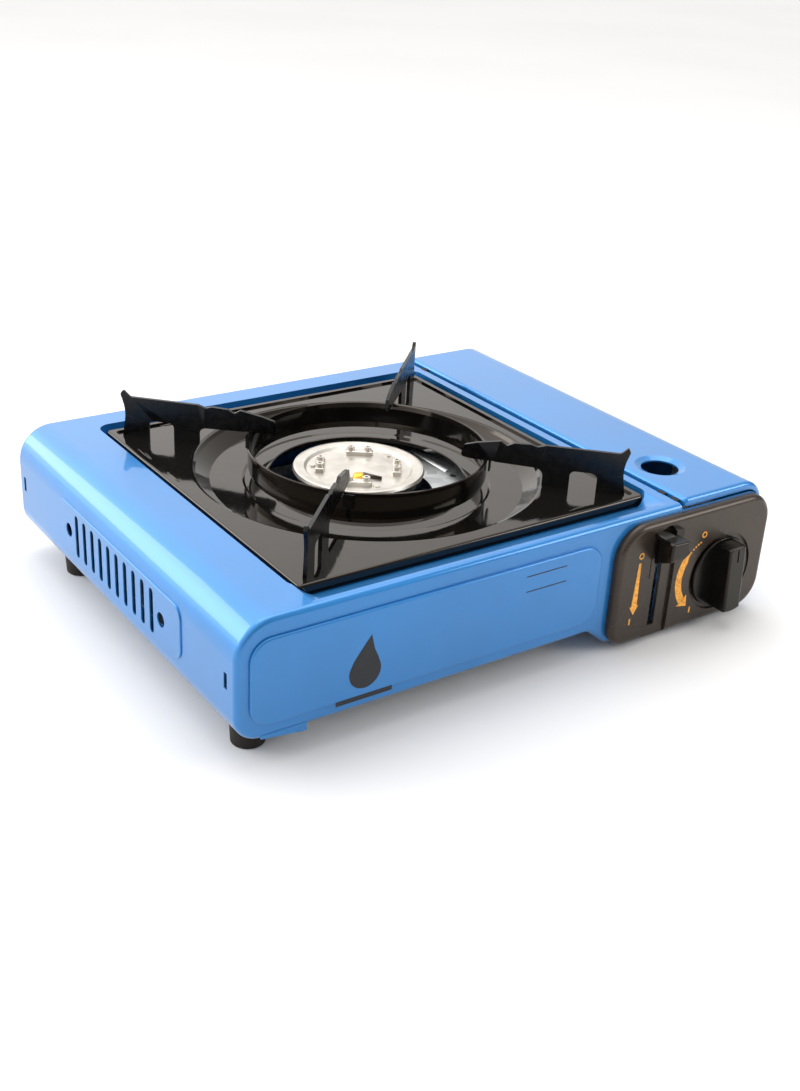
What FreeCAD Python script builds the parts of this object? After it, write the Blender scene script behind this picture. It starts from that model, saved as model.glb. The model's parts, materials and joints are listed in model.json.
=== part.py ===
"""Portable one-burner gas stove for butane cartridges: pressed steel case, lift-off
enamelled pan with four pot supports, hinged cartridge lid, regulator, burner and igniter.

Millimetres. X runs left to right along the front, Y runs from front to back, Z is up.
Y is drawn about the pan; the export moves every piece by CENTRING, so that the origin is on
the ground under the middle of the whole stove.
"""
import FreeCAD, Part
import math
import os

V = FreeCAD.Vector

# ---------------------------------------------------------------- driving dimensions
CASE_LEFT, CASE_RIGHT = -169.2, 168.0
CASE_FRONT, CASE_BACK = -120.0, 144.0
CASE_TOP = 78.0
BURNER_SIDE_BOTTOM = 15.0        # lower edge of the case under the burner
TANK_SIDE_BOTTOM = 4.0           # lower edge of the case under the cartridge
STEP_X = (44.0, 58.0)            # where the lower edge steps down
SHEET = 0.8
END_EDGE = 3.0                   # bend radius of the front and back edges
TOP_BEND, FOOT_BEND, RIGHT_BEND = 20.0, 14.0, 14.0

OPENING = (-128.4, 96.5, -101.0, 125.5)
OPENING_CORNER = 8.0
LEDGE_TOP = 70.9
LEDGE_WIDTH = 8.0
DISH_FRONT = -115.0
DISH_DEPTH = 6.0

PAN_CENTRE = (-15.6, 10.2)
PAN_SIDE = 218.7
PAN_RIM_TOP = 77.0
PAN_FLAT_TOP = 75.8
PAN_SKIRT_BOTTOM = 71.6
WELL_RADIUS, WELL_FLOOR_RADIUS = 98.7, 88.0
WELL_FLOOR, WELL_INNER = 67.6, 66.6
PAN_HOLE_RADIUS = 55.0
PAN_SHEET = 0.8

RING_RADIUS, RING_TOP, RING_BOTTOM, RING_WALL = 67.6, 88.0, 72.4, 1.2
SUPPORT_THICKNESS = 2.0
SUPPORT_OUTER, SUPPORT_INNER = 143.7, 98.2
SUPPORT_TIP = 103.3

BURNER = (-21.0, 11.0)
BURNER_RADIUS = 37.1
BURNER_TOP = 75.4

TANK_WALL_X = 90.8               # burner side of the wall beside the cartridge
CARTRIDGE_AXIS = (135.6, 38.8)
CARTRIDGE_RADIUS = 33.0

LID_LEFT, LID_RIGHT, LID_TOP, LID_BOTTOM = 105.0, 168.0, 80.0, 46.0
LID_FRONT, LID_BACK = -118.8, 142.5
LID_BEND = 16.0
HINGE = (163.0, 50.0)

PANEL = (55.5, 170.0, 3.0, 74.0)
PANEL_DEPTH = 5.0
VENT_WIDTH = 4.2
PAD_RAISE = 1.7                  # how far the pressed panel stands out of the front
SLOT_X, SLOT_BOTTOM, SLOT_TOP, SLOT_WIDTH = 86.4, 10.0, 60.0, 4.6
KNOB_AXIS = (134.4, 32.1)
KNOB_RADIUS, KNOB_SEAT, KNOB_REACH = 20.8, 23.4, 12.5
LEVER_REACH = 13.0
CENTRING = -(CASE_BACK + CASE_FRONT - PANEL_DEPTH - LEVER_REACH) / 2
FOOT_RADIUS = 9.3


# ---------------------------------------------------------------- helpers
def box(x0, x1, y0, y1, z0, z1):
    return Part.makeBox(x1 - x0, y1 - y0, z1 - z0, V(x0, y0, z0))


def rod_x(x0, x1, y, z, radius):
    return Part.makeCylinder(radius, x1 - x0, V(x0, y, z), V(1, 0, 0))


def rod_y(x, z, y0, y1, radius):
    return Part.makeCylinder(radius, y1 - y0, V(x, y0, z), V(0, 1, 0))


def rod_z(x, y, z0, z1, radius):
    return Part.makeCylinder(radius, z1 - z0, V(x, y, z0))


def cone_y(x, z, y0, r0, y1, r1):
    return Part.makeCone(r0, r1, y1 - y0, V(x, y0, z), V(0, 1, 0))


def rounded_wire(corners):
    """Closed wire through (point, radius) corners, each radius a tangent arc."""
    edges = []
    starts, ends, mids = [], [], []
    count = len(corners)
    for i in range(count):
        point, radius = corners[i]
        before = (corners[i - 1][0] - point).normalize()
        after = (corners[(i + 1) % count][0] - point).normalize()
        half = before.getAngle(after) / 2
        reach = radius / math.tan(half)
        starts.append(point + before * reach)
        ends.append(point + after * reach)
        bisector = (before + after).normalize()
        mids.append(point + bisector * (radius / math.sin(half) - radius))
    for i in range(count):
        if corners[i][1] > 0:
            edges.append(Part.Arc(starts[i], mids[i], ends[i]).toShape())
        edges.append(Part.LineSegment(ends[i], starts[(i + 1) % count]).toShape())
    return Part.Wire(edges)


def prism(corners, direction):
    return Part.Face(rounded_wire(corners)).extrude(direction)


def section_prism(outline, y0, y1):
    """A solid with an (x, z, radius) outline, along Y."""
    return prism([(V(x, y0, z), r) for x, z, r in outline], V(0, y1 - y0, 0))


def plan_prism(x0, x1, y0, y1, radius, z0, z1):
    corners = [(x0, y0), (x1, y0), (x1, y1), (x0, y1)]
    return prism([(V(x, y, z0), radius) for x, y in corners], V(0, 0, z1 - z0))


def front_prism(x0, x1, z0, z1, radius, y0, y1):
    corners = [(x0, z0), (x1, z0), (x1, z1), (x0, z1)]
    return section_prism([(x, z, radius) for x, z in corners], y0, y1)


def round_edges(solid, radius, keep):
    edges = [edge for edge in solid.Edges if keep(edge.BoundBox)]
    return solid.makeFillet(radius, edges)


def flat_at_y(y):
    return lambda bounds: abs(bounds.YMin - y) < 0.01 and abs(bounds.YMax - y) < 0.01


def turned(centre, outline):
    """A solid of revolution about a vertical axis, from (radius, z) points."""
    points = [V(centre[0] + r, centre[1], z) for r, z in outline]
    face = Part.Face(Part.makePolygon(points + points[:1]))
    return face.revolve(V(centre[0], centre[1], 0), V(0, 0, 1), 360)


def bent_rod(points, radius, bend):
    """A round rod along straight runs joined by tangent arcs."""
    edges = []
    last = points[0]
    for i in range(1, len(points) - 1):
        before = (points[i - 1] - points[i]).normalize()
        after = (points[i + 1] - points[i]).normalize()
        half = before.getAngle(after) / 2
        reach = bend / math.tan(half)
        start = points[i] + before * reach
        end = points[i] + after * reach
        middle = points[i] + (before + after).normalize() * (bend / math.sin(half) - bend)
        edges.append(Part.LineSegment(last, start).toShape())
        edges.append(Part.Arc(start, middle, end).toShape())
        last = end
    edges.append(Part.LineSegment(last, points[-1]).toShape())
    path = Part.Wire(edges)
    circle = Part.Wire([Part.Circle(points[0], points[1] - points[0], radius).toShape()])
    rod = path.makePipeShell([circle], True, False)
    expected = math.pi * radius ** 2 * path.Length
    print("rod volume %.0f, section times length %.0f, bend %.1f" % (rod.Volume, expected, bend))
    return rod


def group(solids):
    return Part.makeCompound(solids)


# ---------------------------------------------------------------- case
def case_outline(inset):
    """Cross-section of the case, going round from the bottom left corner."""
    left, right = CASE_LEFT + inset, CASE_RIGHT - inset
    low, deep, top = BURNER_SIDE_BOTTOM + inset, TANK_SIDE_BOTTOM + inset, CASE_TOP - inset
    shift = inset * 0.4
    return [(left, low, FOOT_BEND - inset), (left, top, TOP_BEND - inset),
            (right, top, RIGHT_BEND - inset), (right, deep, FOOT_BEND - inset),
            (STEP_X[1] + shift, deep, 8 - inset), (STEP_X[0] + shift, low, 8 + inset)]


def case_body(inset):
    y0, y1 = CASE_FRONT + inset, CASE_BACK - inset
    body = section_prism(case_outline(inset), y0, y1)
    radius = END_EDGE - inset
    ends = lambda b: flat_at_y(y0)(b) or flat_at_y(y1)(b)
    return round_edges(body, radius, ends)


def dish(drop):
    """The slope in front of the pan, where the top runs down to the opening."""
    y0, y1 = OPENING[2], OPENING[2] + 6
    top = CASE_TOP - drop
    wires = []
    for x, depth in ((OPENING[0] + 1, 0.1), (OPENING[0] + 9, DISH_DEPTH),
                     (OPENING[1] - 9, DISH_DEPTH), (OPENING[1] - 1, 0.1)):
        points = [V(x, DISH_FRONT, top), V(x, y0, top - depth), V(x, y1, top - depth),
                  V(x, y1, CASE_TOP + 2), V(x, DISH_FRONT, CASE_TOP + 2)]
        wires.append(Part.makePolygon(points + points[:1]))
    return Part.makeLoft(wires, True, True)


def opening_frame():
    """Turned-down edge of the pan opening, and the ledge that the pan sits over."""
    x0, x1, y0, y1 = OPENING
    t = SHEET
    outer = plan_prism(x0 - t, x1 + t, y0 - t, y1 + t, OPENING_CORNER + t, LEDGE_TOP - t, CASE_TOP - t / 2)
    inner = plan_prism(x0, x1, y0, y1, OPENING_CORNER, LEDGE_TOP, CASE_TOP + 1)
    w = LEDGE_WIDTH
    hole = plan_prism(x0 + w, x1 - w, y0 + w, y1 - w, OPENING_CORNER, LEDGE_TOP - 3, CASE_TOP)
    return outer.cut(inner).cut(hole).cut(dish(t / 2))


def vent_slots():
    """Ten upright slots and two round holes in the left side."""
    cuts = []
    x0, x1 = CASE_LEFT - 2, CASE_LEFT + 4
    half = VENT_WIDTH / 2
    for i in range(10):
        y = 57.0 - i * 10.25
        z0, z1 = 33.3 + half, 58.0 - half
        cuts.append(box(x0, x1, y - half, y + half, z0, z1))
        cuts.append(rod_x(x0, x1, y, z0, half))
        cuts.append(rod_x(x0, x1, y, z1, half))
    for y in (68.0, -45.6):
        cuts.append(rod_x(x0, x1, y, 45.4, 3.9))
    for y in (-110.4, 135.3):
        cuts.append(box(x0, x1, y - 1.5, y + 1.5, 41.6, 50.0))
    return cuts


def side_emboss(x0, x1, inset):
    y0, y1, z0, z1 = -66.4 + inset, 81.2 - inset, 31.6 + inset, 61.3 - inset
    corners = [(y0, z0), (y1, z0), (y1, z1), (y0, z1)]
    return prism([(V(x0, y, z), 7 - inset) for y, z in corners], V(x1 - x0, 0, 0))


def front_emboss(y0, y1, inset):
    return front_prism(-162.4 + inset, 46.0 - inset, 22.5 + inset, 68.5 - inset, 11.5 - inset, y0, y1)


def whole_case():
    outer = case_body(0)
    pad_face = CASE_FRONT - PAD_RAISE
    pad = round_edges(front_emboss(pad_face, CASE_FRONT + 1, 0), 1.2, flat_at_y(pad_face))
    side_x = CASE_LEFT - SHEET
    side_pad = side_emboss(side_x, CASE_LEFT + 1, 0)
    side_pad = round_edges(side_pad, 0.6, lambda b: b.XMax < side_x + 0.01)
    outer = outer.fuse([pad, side_pad]).cut(dish(0))
    inner = case_body(SHEET).cut(dish(SHEET))
    pocket = front_emboss(pad_face + SHEET, CASE_FRONT + 2, 1.4)
    side_pocket = side_emboss(side_x + SHEET, CASE_LEFT + 2, 1.2)
    shell = outer.cut(inner).cut(pocket).cut(side_pocket)
    x0, x1, y0, y1 = OPENING
    shell = shell.cut(plan_prism(x0, x1, y0, y1, OPENING_CORNER, 60, CASE_TOP + 5))
    shell = shell.fuse(opening_frame())
    shell = shell.cut(box(-150, 41, CASE_FRONT + 5, CASE_BACK - 5, 10, 17))
    shell = shell.cut(box(62, 150, CASE_FRONT + 5, CASE_BACK - 5, 2, 7))
    above_bay = box(102, 175, CASE_FRONT - 1, CASE_BACK + 1, 43.6, 90)
    end_sheets = front_prism(80, 164.9, 20, 74.6, 11.0, CASE_FRONT - 1, CASE_BACK + 1)
    end_sheets = end_sheets.cut(box(80, 175, CASE_FRONT + SHEET, CASE_BACK - SHEET, 0, 90))
    shell = shell.cut(above_bay.cut(end_sheets))
    lip = box(102 - SHEET, 102, CASE_FRONT + 2, CASE_BACK - 2, 73.5, CASE_TOP - 0.4)
    shell = shell.fuse(lip)
    return shell.cut(vent_slots())


def panel_openings():
    """Holes in the front sheet for the lever slot and the knob spindle."""
    slot = box(SLOT_X - 4, SLOT_X + 4, CASE_FRONT - 2, CASE_FRONT + 2, SLOT_BOTTOM - 2, SLOT_TOP + 9)
    spindle = rod_y(*KNOB_AXIS, CASE_FRONT - 2, CASE_FRONT + 2, 6)
    return slot.fuse(spindle)


def corner_lip():
    """Small turned-down lip at the lower left corner of the front sheet."""
    corners = [V(-156, CASE_FRONT, 17), V(-131.5, CASE_FRONT, 17), V(-131.5, CASE_FRONT, 12.4),
               V(-133, CASE_FRONT, 12.4), V(-156, CASE_FRONT, 15.2)]
    return Part.Face(Part.makePolygon(corners + corners[:1])).extrude(V(0, SHEET, 0))


def case_parts():
    """The case in three sheets: front, wrap-round top with the left side, and back."""
    shell = whole_case()
    front_seam, back_seam = CASE_FRONT + END_EDGE, CASE_BACK - END_EDGE
    front = shell.common(box(-200, 200, CASE_FRONT - 5, front_seam, 0, 100)).cut(panel_openings())
    front = front.fuse(corner_lip()).removeSplitter()
    middle = shell.common(box(-200, 200, front_seam, back_seam, 0, 100))
    back = shell.common(box(-200, 200, back_seam, CASE_BACK + 5, 0, 100))
    return {"front_panel": front, "upper_case": middle, "back_panel": back}


def base_plate():
    """Floor under the burner, with turned-up ends and two stiffening ribs."""
    z = BURNER_SIDE_BOTTOM + SHEET
    x0, x1 = -150, TANK_WALL_X
    y0, y1 = CASE_FRONT + END_EDGE + 0.2, CASE_BACK - END_EDGE - 0.2
    plate = box(x0, x1, y0, y1, z, z + SHEET)
    for y in (y0, y1 - SHEET):
        plate = plate.fuse(box(x0, x1, y, y + SHEET, z, z + 5))
    for y in (-60, 90):
        plate = plate.fuse(rod_x(-120, 20, y, z + SHEET - 3, 4).common(box(x0, x1, y0, y1, z, z + 5)))
    for x in range(-120, 40, 20):
        plate = plate.cut(plan_prism(x, x + 4, -40, -10, 1.9, z - 1, z + 5))
    return plate


def tank_wall():
    """Heat-shield wall between burner and cartridge, with a long pressed rib."""
    x0, x1 = TANK_WALL_X, TANK_WALL_X + SHEET
    y0, y1 = -80.0, CASE_BACK - END_EDGE - 1
    wall = box(x0, x1, y0, y1, TANK_SIDE_BOTTOM + 2 * SHEET, 68.2)
    rib = rod_y(x0 + 2.2, 52, y0 + 20, y1 - 20, 3.4).common(box(x0 - 5, x0 + 0.1, y0, y1, 0, 100))
    wall = wall.fuse(rib)
    wall = wall.cut(rod_x(x0 - 5, x1 + 5, BURNER[1], 40, 4.0))
    return wall.cut(box(x0 - 5, x1 + 5, 29.5, 60.5, 16.3, 18.5))


def heat_shield():
    """Bright ledge on the wall that faces the burner, under the right of the pan."""
    z = 60.0
    x, y = BURNER
    plate = box(16, TANK_WALL_X, -46, 86, z, z + SHEET)
    plate = plate.cut(rod_z(x, y, z - 1, z + 2, 43))
    bead = rod_y(40.5, z + SHEET - 2.6, 8, 44, 3.6).common(box(30, 50, 8, 44, z, z + 5))
    return plate.fuse(bead).cut(rod_z(39.4, 1.5, z - 1, z + 4, 2.2)).cut(rod_z(64, 60, z - 1, z + 4, 2.2))


def cartridge_tray():
    """Floor of the cartridge bay, with three drain slots."""
    z = TANK_SIDE_BOTTOM + SHEET
    y0, y1 = CASE_FRONT + END_EDGE + 0.2, CASE_BACK - END_EDGE - 0.2
    tray = box(63, 152, y0, y1, z, z + SHEET)
    for y in (-40, 20, 80):
        tray = tray.cut(plan_prism(105, 145, y - 3, y + 3, 2.9, z - 1, z + 2))
    return tray


def cartridge_cradle():
    """Two pressed saddles that hold the cartridge on its axis."""
    z = TANK_SIDE_BOTTOM + 2 * SHEET
    saddles = []
    for y in (-30, 90):
        plate = box(112, 160, y - 0.6, y + 0.6, z + 1, 24)
        plate = plate.cut(rod_y(*CARTRIDGE_AXIS, y - 5, y + 5, CARTRIDGE_RADIUS + 0.5))
        saddles.append(plate.fuse(box(118, 152, y - 0.6, y + 8, z, z + 1)).removeSplitter())
    return group(saddles)


def heat_strip():
    """Aluminium strip that carries burner warmth to the cartridge."""
    z = BURNER_SIDE_BOTTOM + 2 * SHEET
    strip = box(12, 106, 32, 58, z, z + 1.5)
    return round_edges(strip, 4, lambda b: b.ZLength > 1.4 and b.XMin > 100)


def feet():
    """Rubber feet: tall ones under the burner side, low ones under the cartridge."""
    result = {}
    places = {"foot_front_left": (-150.5, -97.5, BURNER_SIDE_BOTTOM),
              "foot_back_left": (-150.5, 103.0, BURNER_SIDE_BOTTOM),
              "foot_front_right": (146.0, -97.5, TANK_SIDE_BOTTOM),
              "foot_back_right": (146.0, 103.0, TANK_SIDE_BOTTOM)}
    for name, (x, y, top) in places.items():
        foot = Part.makeCone(FOOT_RADIUS - 0.8, FOOT_RADIUS, top, V(x, y, 0))
        foot = round_edges(foot, 1.0, lambda b: b.ZMax < 0.01)
        result[name] = foot.cut(rod_z(x, y, -1, 1.5, 3.5))
    return result


# ---------------------------------------------------------------- control panel
def control_panel():
    """Moulded panel with a sunk lever track and a round seat for the knob."""
    x0, x1, z0, z1 = PANEL
    face = CASE_FRONT - PANEL_DEPTH
    outline = [(x0, z0, 12), (x1, z0, 17), (x1, z1, 17), (x0, z1, 19)]
    panel = section_prism(outline, face, CASE_FRONT)
    panel = round_edges(panel, 3.5, flat_at_y(face))
    track = section_prism([(78.5, -5, 0), (97, -5, 0), (97, 66, 6), (90, 71, 4), (78.5, 66, 7)],
                          face - 1, face + 1.6)
    panel = panel.cut(track)
    panel = panel.cut(rod_y(*KNOB_AXIS, face - 1, face + 1.5, KNOB_SEAT))
    hollow = section_prism([(x0 + 3, z0 + 3, 9), (x1 - 3, z0 + 3, 14), (x1 - 3, z1 - 3, 14),
                            (x0 + 3, z1 - 3, 16)], CASE_FRONT - 1.6, CASE_FRONT + 1)
    boss = rod_y(*KNOB_AXIS, CASE_FRONT - 1.6, CASE_FRONT, 9)
    panel = panel.cut(hollow).fuse(boss)
    panel = panel.cut(box(SLOT_X - SLOT_WIDTH / 2, SLOT_X + SLOT_WIDTH / 2, face - 2, CASE_FRONT + 1,
                          SLOT_BOTTOM, SLOT_TOP + 8))
    groove = box(79.6, 80.8, face - 1, face + 2.4, 40, 52)
    return panel.cut(groove).cut(rod_y(*KNOB_AXIS, face - 2, CASE_FRONT + 1, 3.6))


def panel_screws():
    """Screws through the front sheet into the back of the panel."""
    screws = []
    for x, z in ((66, 18), (66, 58), (160, 22), (160, 60)):
        head = rod_y(x, z, CASE_FRONT + SHEET, CASE_FRONT + SHEET + 1.8, 3)
        screws.append(head)
    return group(screws)


def knob():
    """Low disc in a round seat, with a finger bar across it that carries the pointer line."""
    x, z = KNOB_AXIS
    face = CASE_FRONT - PANEL_DEPTH
    y_disc, y_front = face - 1.2, face - KNOB_REACH
    disc = rod_y(x, z, y_disc, face + 1.3, KNOB_RADIUS)
    disc = round_edges(disc, 1.0, flat_at_y(y_disc))
    half = 6.2
    grip = box(x - half, x + half, y_front, face, z - 30, z + 30)
    grip = grip.common(rod_y(x, z, y_front, face, KNOB_RADIUS - 0.4))
    grip = round_edges(grip, 1.3, flat_at_y(y_front))
    grip = grip.cut(box(x - 0.5, x + 0.5, y_front - 1, y_front + 0.6, z + 11, z + KNOB_RADIUS - 2))
    grip.rotate(V(x, 0, z), V(0, 1, 0), -4)
    bore = rod_y(x, z, face - 9, face + 2, 3.0)
    return disc.fuse(grip).cut(bore)


def valve_spindle():
    x, z = KNOB_AXIS
    face = CASE_FRONT - PANEL_DEPTH
    return rod_y(x, z, face - 9, -101.0, 3.0).removeSplitter()


def igniter_cam():
    """Nosed disc on the spindle that trips the igniter near the end of its turn."""
    x, z = KNOB_AXIS
    disc = rod_y(x, z, -117, -113, 9)
    nose_corners = [(x - 2, z - 14, 1.5), (x + 4, z - 14, 1.5), (x + 6, z, 0), (x - 6, z, 0)]
    nose = section_prism(nose_corners, -117, -113)
    return disc.fuse(nose).cut(rod_y(x, z, -118, -112, 3.0))


def lever_handle():
    """Finger lever with a side wing, and the stem that passes through the slot."""
    face = CASE_FRONT - PANEL_DEPTH
    front = face - LEVER_REACH
    base = [(80.5, 49.4), (93.2, 52.4), (92.6, 66.4), (80.7, 66.4)]
    tip = [(79.6, 55.6), (94.4, 58.2), (92.6, 65.8), (80.2, 66.2)]
    wires = []
    for y, outline in ((face - 0.4, base), (front, tip)):
        points = [V(x, y, z) for x, z in outline]
        wires.append(Part.makePolygon(points + points[:1]))
    block = Part.makeLoft(wires, True, True)
    block = round_edges(block, 1.3, lambda b: b.YLength > 5 or b.YMax < front + 0.01)
    crest = front_prism(78.6, 87.0, 65.4, 68.4, 1.0, face - 8, face - 0.3)
    rib = front_prism(91.4, 97.2, 58.8, 68.8, 1.2, face - 3.5, face - 0.3)
    stem = box(SLOT_X - 1.8, SLOT_X + 1.8, face - 1, -117.5, 52, 60)
    return block.fuse([crest, rib, stem]).removeSplitter()


def lever_link():
    """Steel plate behind the front sheet that the lever carries."""
    plate = box(81, 104, -117.5, -116, 56, 66)
    plate = round_edges(plate, 2, lambda b: b.YLength > 1.4 and b.XLength < 0.1 and b.ZLength < 0.1)
    return plate


# ---------------------------------------------------------------- lid
def lid_outline(inset):
    return [(LID_LEFT + inset, LID_BOTTOM - 10, 0), (LID_LEFT + inset, LID_TOP - inset, 2.2 - inset),
            (LID_RIGHT - inset, LID_TOP - inset, LID_BEND - inset), (LID_RIGHT - inset, LID_BOTTOM - 10, 0)]


def lid_body(inset):
    y0, y1 = LID_FRONT + inset, LID_BACK - inset
    body = section_prism(lid_outline(inset), y0, y1)
    radius = 2.6 - inset

    def end_edge(b):
        return (flat_at_y(y0)(b) or flat_at_y(y1)(b)) and b.ZMax > LID_BOTTOM
    return round_edges(body, radius, end_edge)


def lid_panel():
    """Bay cover: top, right side and short turned-down edges, with a round hole."""
    shell = lid_body(0).cut(lid_body(SHEET))
    shell = shell.cut(box(80, 200, -200, 200, 0, LID_BOTTOM))
    ends = front_prism(80, LID_RIGHT - 2.6, 20, LID_TOP - 4.4, 12, LID_FRONT - 5, LID_BACK + 5)
    shell = shell.cut(ends.cut(box(0, 300, LID_FRONT + 2.6, LID_BACK - 2.6, -50, 120)))
    shell = shell.cut(box(80, 125, -200, 200, 0, LID_TOP - 4.4))
    hole = (126.0, -77.2)
    rim = turned(hole, [(10.8, LID_TOP - 2.4), (16.5, LID_TOP - SHEET), (16.5, LID_TOP), (14.5, LID_TOP),
                        (10.8, LID_TOP - 1.5)])
    shell = shell.cut(rod_z(*hole, LID_TOP - 3, LID_TOP + 1, 15.5)).fuse(rim)
    for y in (LID_FRONT + 3.4, LID_BACK - 5.2):
        ear = rod_y(*HINGE, y, y + 1.8, 3.9).fuse(box(HINGE[0] - 3.9, LID_RIGHT - SHEET, y, y + 1.8,
                                                     HINGE[1], HINGE[1] + 12))
        shell = shell.fuse(ear.common(lid_body(SHEET / 2))).cut(rod_y(*HINGE, y - 1, y + 3, 1.55))
    return shell.removeSplitter()


def lid_buffers():
    """Rubber stops on the lip of the bay, under the free edge of the lid."""
    return group([box(102, 104.5, y, y + 5, CASE_TOP - 4, CASE_TOP + 0.3) for y in (-115, -105, 120)])


def hinge_pins():
    """One pin at each end of the lid, riveted to the end sheets."""
    x, z = HINGE
    front = rod_y(x, z, CASE_FRONT + SHEET, LID_FRONT + 7.5, 1.5)
    back = rod_y(x, z, LID_BACK - 7.5, CASE_BACK - SHEET, 1.5)
    return group([front, back])


# ---------------------------------------------------------------- burner
def burner_bowl():
    """Pressed mixing bowl under the burner head, open at the right for its tube."""
    bowl = turned(BURNER, [(0, 33), (17, 33), (22, 36), (24, 47), (33, 66), (35, 71.6), (34, 71.6),
                           (32, 66.6), (23, 47.6), (21, 37), (16.5, 34), (0, 34)])
    return bowl.cut(rod_x(BURNER[0] + 5, BURNER[0] + 40, BURNER[1], 40, 5.05))


def burner_cap():
    """Bright round head with a raised rim and a sunk floor."""
    top = BURNER_TOP
    outline = [(0, top - 3.8), (35.6, top - 3.8), (36.6, top - 3.0), (BURNER_RADIUS, top - 1.6),
               (BURNER_RADIUS - 0.7, top - 0.2), (BURNER_RADIUS - 2, top), (BURNER_RADIUS - 6.5, top - 0.5),
               (BURNER_RADIUS - 8, top - 1.8), (0, top - 1.8)]
    cap = turned(BURNER, outline)
    for x, y in port_places():
        cap = cap.cut(rod_z(x, y, top - 5, top, 1.0))
    return cap


def port_frame(index):
    angle = math.radians(-34 + 90 * index)
    radial = V(math.cos(angle), math.sin(angle), 0)
    return radial, V(-radial.y, radial.x, 0)


def port_places():
    places = []
    for index in range(4):
        radial, along = port_frame(index)
        for side in (-1, 1):
            point = V(BURNER[0], BURNER[1], 0) + radial * 21.5 + along * (4.8 * side)
            places.append((point.x, point.y))
    return places


def burner_ports():
    """Four raised bars, each with two small flame turrets."""
    floor = BURNER_TOP - 1.8
    bars = []
    places = port_places()
    for index in range(4):
        radial, along = port_frame(index)
        centre = V(BURNER[0], BURNER[1], floor) + radial * 21.5
        bar = Part.makeBox(16, 5.4, 2.4, V(-8, -2.7, 0))
        bar = round_edges(bar, 1.0, lambda b: b.ZMin > 2.3 or b.ZLength > 2.3)
        bar.rotate(V(0, 0, 0), V(0, 0, 1), math.degrees(math.atan2(along.y, along.x)))
        bar.translate(centre)
        for x, y in places[2 * index:2 * index + 2]:
            turret = Part.makeCone(2.5, 2.1, 3.6, V(x, y, floor + 1))
            bar = bar.fuse(turret)
            bar = bar.cut(rod_z(x, y, floor - 1, floor + 6, 0.8))
        bars.append(bar)
    return group(bars)


def pilot_cap():
    """Small brass dome over the pilot port, where the spark lands."""
    x, y = BURNER[0] - 7.6, BURNER[1] - 12.2
    floor = BURNER_TOP - 1.8
    dome = rod_z(x, y, floor, floor + 3.4, 3.4)
    dome = round_edges(dome, 2.0, lambda b: b.ZMin > floor + 3.3)
    return dome.cut(Part.makeCylinder(0.9, 8, V(x, y, floor + 1.6), V(0.3, -1, 0)))


def spark_horn():
    """Pointed steel target beside the pilot dome."""
    x, y = BURNER
    floor = BURNER_TOP - 1.8
    points = [V(x - 2.6, y - 8.6, floor), V(x - 3.8, y - 12.8, floor), V(x + 3.2, y - 19.0, floor)]
    flat = Part.Face(Part.makePolygon(points + points[:1])).extrude(V(0, 0, 1.8))
    return flat


def burner_screws():
    """Three screws that hold the head to the bowl."""
    floor = BURNER_TOP - 1.8
    return group([rod_z(BURNER[0] + 26 * math.cos(a), BURNER[1] + 26 * math.sin(a), floor, floor + 0.9, 1.8)
                  for a in (math.radians(-100), math.radians(16), math.radians(144))])


def burner_bracket():
    """Bridge from the base plate to the underside of the bowl."""
    base = BURNER_SIDE_BOTTOM + 2 * SHEET
    x, y = BURNER
    bridge = box(x - 14, x + 14, y - 30, y + 30, 31.6, 33)
    for side in (-1, 1):
        y_leg = y + side * 29.3
        bridge = bridge.fuse(box(x - 14, x + 14, y_leg - 0.7, y_leg + 0.7, base, 33))
        y_foot = sorted((y_leg, y_leg + side * 12))
        bridge = bridge.fuse(box(x - 14, x + 14, y_foot[0], y_foot[1], base, base + 1.4))
    return bridge.removeSplitter()


def mixing_tube():
    """Venturi tube from the jet to the bowl, with two air windows near the jet."""
    y, z = BURNER[1], 40.0
    tube = rod_x(BURNER[0] + 19, 84, y, z, 5.0).cut(rod_x(BURNER[0] + 18, 85, y, z, 4.0))
    for side in (-1, 1):
        tube = tube.cut(box(70, 78, y + min(0, side * 8), y + max(0, side * 8), z - 2, z + 2))
    return tube


def air_shutter():
    """Sleeve that turns on the mixing tube to set the air."""
    y, z = BURNER[1], 40.0
    return rod_x(60, 69, y, z, 6.2).cut(rod_x(59, 70, y, z, 5.0))


def gas_jet():
    """Brass jet in the end of the mixing tube."""
    y, z = BURNER[1], 40.0
    jet = rod_x(79, 88, y, z, 4.0).fuse(Part.makeCone(1.5, 4.0, 3, V(76, y, z), V(1, 0, 0)))
    return jet.cut(rod_x(70, 90, y, z, 0.5))


def gas_pipe():
    """Bent copper-coloured pipe from the regulator to the jet."""
    points = [V(118, -75.5, 40), V(97, -75.5, 40), V(97, BURNER[1], 40), V(88, BURNER[1], 40)]
    return bent_rod(points, 2.5, 7.5)


def spark_rod():
    """Electrode wire that rises beside the bowl to the pilot dome."""
    x, y = BURNER[0] - 12, BURNER[1] - 39.5
    return rod_z(x, y, 44, 71.5, 1.0).fuse(box(x - 1, x + 1, y, y + 2.6, 69.5, 71.5))


def spark_insulator():
    """White ceramic sleeve on the electrode."""
    x, y = BURNER[0] - 12, BURNER[1] - 39.5
    sleeve = rod_z(x, y, 46, 64, 3.0).fuse(rod_z(x, y, 52, 56, 4.2))
    return sleeve.cut(rod_z(x, y, 45, 65, 1.0))


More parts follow.
